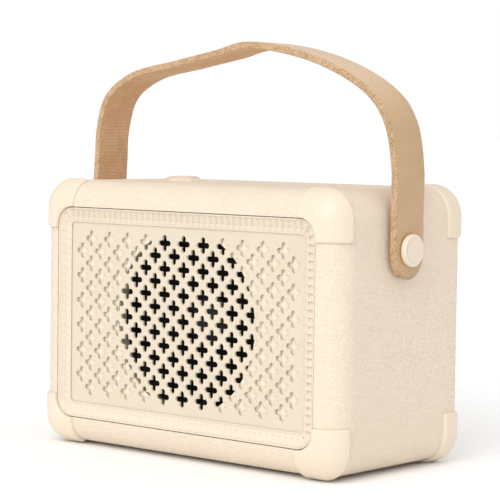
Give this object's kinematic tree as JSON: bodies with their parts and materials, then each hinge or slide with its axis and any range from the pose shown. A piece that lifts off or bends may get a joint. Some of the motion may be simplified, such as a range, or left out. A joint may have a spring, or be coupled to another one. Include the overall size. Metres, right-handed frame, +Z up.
{
  "type": "portable radio",
  "caption": "Small upright cream radio speaker with a cross-pierced front grille, rounded corner guards and a swinging tan leather carrying strap.",
  "frame": {"origin": "on the table, under the middle of the radio's bounding box", "axes": "+Z up; the pierced front face looks along -Y; X runs along the width, +X to the right for somebody looking at the front"},
  "size_m": [0.1416, 0.0666, 0.1366],
  "materials": {
    "shell": "cream moulded plastic with a fine leather-like grain on the box",
    "guard": "smooth satin cream plastic",
    "grille": "smooth satin cream plastic, pierced",
    "leather": "tan vegetable-tanned leather, smooth grain side out",
    "steel": "zinc-plated steel",
    "black_plastic": "black moulded plastic",
    "rubber": "soft black rubber",
    "cone": "pressed black paper pulp",
    "dust_cap": "dark grey pressed cap with a slight sheen",
    "copper": "enamelled copper winding on a former",
    "ferrite": "sintered ferrite, dark grey",
    "board": "green circuit board",
    "battery_wrap": "plain blue shrink wrap",
    "lens": "clear diffusing lens"
  },
  "bodies": {
    "housing": {"aux_jack": "black_plastic", "baffle_panel": "shell", "baffle_screw_bottom_left": "steel", "baffle_screw_bottom_right": "steel", "baffle_screw_top_left": "steel", "baffle_screw_top_right": "steel", "battery_cell": "battery_wrap", "battery_cradle": "black_plastic", "bezel_frame": "shell", "control_board": "board", "control_board_screw_left": "steel", "control_board_screw_right": "steel", "corner_guard_front_bottom_left": "guard", "corner_guard_front_bottom_right": "guard", "corner_guard_front_top_left": "guard", "corner_guard_front_top_right": "guard", "corner_guard_rear_bottom_left": "guard", "corner_guard_rear_bottom_right": "guard", "corner_guard_rear_top_left": "guard", "corner_guard_rear_top_right": "guard", "grille_plate": "grille", "housing_shell": "shell", "led_lens": "lens", "magnet_front_plate": "steel", "magnet_yoke": "steel", "main_board": "board", "power_switch_body": "steel", "rear_cover": "shell", "rear_screw_bottom_left": "steel", "rear_screw_bottom_right": "steel", "rear_screw_top_left": "steel", "rear_screw_top_right": "steel", "ring_magnet": "ferrite", "speaker_basket": "steel", "speaker_screw_1": "steel", "speaker_screw_2": "steel", "speaker_screw_3": "steel", "speaker_screw_4": "steel", "speaker_surround": "rubber", "strap_button_left": "guard", "strap_button_right": "guard", "strap_nut_left": "steel", "strap_nut_right": "steel", "strap_washer_left": "shell", "strap_washer_right": "shell", "tact_switch_1": "black_plastic", "tact_switch_2": "black_plastic", "tact_switch_3": "black_plastic", "tact_switch_4": "black_plastic", "usb_port": "steel"},
    "strap": {"strap": "leather"},
    "power_button": {"power_button": "guard"},
    "volume_down_button": {"volume_down_button": "guard"},
    "play_button": {"play_button": "guard"},
    "volume_up_button": {"volume_up_button": "guard"},
    "power_switch_knob": {"power_switch_knob": "black_plastic"},
    "speaker_cone": {"speaker_cone": "cone", "dust_cap": "dust_cap", "voice_coil": "copper"}
  },
  "joints": [
    {"name": "strap_swing", "type": "hinge", "parent": "housing", "child": "strap", "pos_m": [0, -0.0012, 0.0712], "axis": [1, 0, 0], "range_deg": [-90, 90]},
    {"name": "power_press", "type": "slide", "parent": "housing", "child": "power_button", "axis": [0, 0, -1], "range_m": [0, 0.0006], "stiffness_N_per_m": 500},
    {"name": "volume_down_press", "type": "slide", "parent": "housing", "child": "volume_down_button", "axis": [0, 0, -1], "range_m": [0, 0.0006], "stiffness_N_per_m": 500},
    {"name": "play_press", "type": "slide", "parent": "housing", "child": "play_button", "axis": [0, 0, -1], "range_m": [0, 0.0006], "stiffness_N_per_m": 500},
    {"name": "volume_up_press", "type": "slide", "parent": "housing", "child": "volume_up_button", "axis": [0, 0, -1], "range_m": [0, 0.0006], "stiffness_N_per_m": 500},
    {"name": "power_switch_slide", "type": "slide", "parent": "housing", "child": "power_switch_knob", "axis": [1, 0, 0], "range_m": [0, 0.002]},
    {"name": "cone_travel", "type": "slide", "parent": "housing", "child": "speaker_cone", "axis": [0, 1, 0], "range_m": [-0.0012, 0.0012], "stiffness_N_per_m": 2000}
  ]
}
